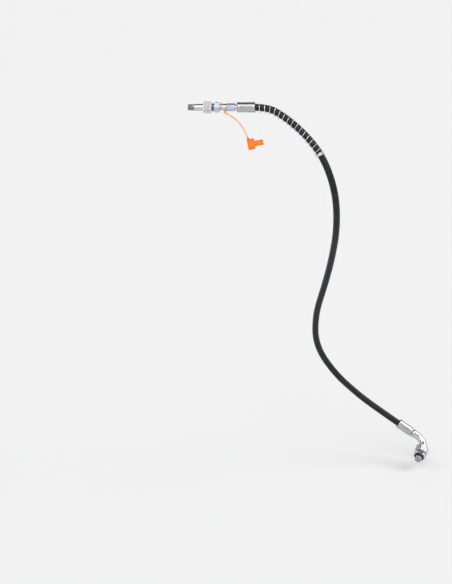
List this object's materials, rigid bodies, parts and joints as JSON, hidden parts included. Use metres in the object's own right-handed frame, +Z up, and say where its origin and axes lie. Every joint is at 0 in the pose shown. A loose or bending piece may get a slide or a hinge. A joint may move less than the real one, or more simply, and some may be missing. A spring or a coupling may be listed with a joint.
{
  "type": "hydraulic hose assembly",
  "caption": "Hydraulic hose with a screw-together check-valve quick coupler, spring guard and tethered dust cap at the ram end and a swept swivel elbow at the pump end.",
  "frame": {"origin": "on the coupler's axis where its pipe thread enters the ram's port", "axes": "+X along the coupler away from the ram, +Z up, +Y away from the usual viewer"},
  "size_m": [0.5184, 0.2615, 0.8377],
  "materials": {
    "zinc_steel": "bright zinc plate, turned",
    "blue_zinc": "bluish zinc plate, turned",
    "collar_zinc": "pale zinc plate, fine diamond knurl",
    "ferrule_nickel": "bright nickel plate",
    "spring_steel": "drawn spring wire",
    "ball_chrome": "polished",
    "hose_rubber": "smooth black synthetic rubber",
    "braid_steel": "wire braid",
    "liner_rubber": "smooth",
    "seal_rubber": "moulded",
    "strap_orange": "translucent soft plastic",
    "cap_orange": "moulded soft plastic"
  },
  "bodies": {
    "ram_half": {"ram_coupler_body": "zinc_steel", "collar_retaining_ring": "spring_steel", "socket_seal": "seal_rubber", "ram_spring_retainer": "zinc_steel", "ram_check_spring": "spring_steel"},
    "collar": {"coupler_collar": "collar_zinc"},
    "ram_ball": {"ram_check_ball": "ball_chrome"},
    "hose": {"hose_coupler_body": "zinc_steel", "hose_spring_retainer": "zinc_steel", "hose_check_spring": "spring_steel", "hose_end_nipple": "blue_zinc", "crimp_ferrule_ram": "ferrule_nickel", "hose_cover": "hose_rubber", "hose_braid": "braid_steel", "hose_liner": "liner_rubber", "spring_guard": "spring_steel", "crimp_ferrule_pump": "ferrule_nickel", "pump_elbow": "ferrule_nickel", "nut_retaining_wire": "spring_steel"},
    "hose_ball": {"hose_check_ball": "ball_chrome"},
    "strap": {"strap_ring": "strap_orange", "cap_strap": "strap_orange", "strap_eyelet": "strap_orange"},
    "cap": {"dust_cap": "cap_orange"},
    "swivel_nut": {"pump_swivel_nut": "blue_zinc"},
    "adapter": {"pump_adapter": "blue_zinc", "seal_washer": "zinc_steel", "seal_rubber": "seal_rubber"}
  },
  "joints": [
    {"name": "collar_spin", "type": "hinge", "parent": "ram_half", "child": "collar", "pos_m": [0.03, 0, 0], "axis": [-1, 0, 0], "range_deg": [0, 2521]},
    {"name": "uncouple", "type": "slide", "parent": "ram_half", "child": "hose", "axis": [1, 0, 0], "range_m": [0, 0.0105]},
    {"name": "ram_check", "type": "slide", "parent": "ram_half", "child": "ram_ball", "axis": [1, 0, 0], "range_m": [0, 0.00071], "deforming": ["ram_check_spring"]},
    {"name": "hose_check", "type": "slide", "parent": "hose", "child": "hose_ball", "axis": [-1, 0, 0], "range_m": [0, 0.00071], "deforming": ["hose_check_spring"]},
    {"name": "strap_ring_turn", "type": "hinge", "parent": "hose", "child": "strap", "pos_m": [0.0603, 0, 0], "axis": [1, 0, 0], "continuous": true},
    {"name": "cap_pivot", "type": "hinge", "parent": "strap", "child": "cap", "pos_m": [0.10974, 0, -0.06173], "axis": [0, 1, 0], "range_deg": [-50, 50]},
    {"name": "nut_spin", "type": "hinge", "parent": "hose", "child": "swivel_nut", "pos_m": [0.50124, 0.20663, -0.79328], "axis": [-0.3322, -0.8488, -0.4113], "continuous": true},
    {"name": "adapter_swivel", "type": "hinge", "parent": "hose", "child": "adapter", "pos_m": [0.50124, 0.20663, -0.79328], "axis": [-0.3322, -0.8488, -0.4113], "continuous": true}
  ],
  "couplings": [
    {"joint": "collar_spin", "follows": "uncouple", "rad_per_m": 4188.8},
    {"joint": "ram_check", "follows": "uncouple", "ratio": 0.066667},
    {"joint": "hose_check", "follows": "uncouple", "ratio": 0.066667}
  ]
}
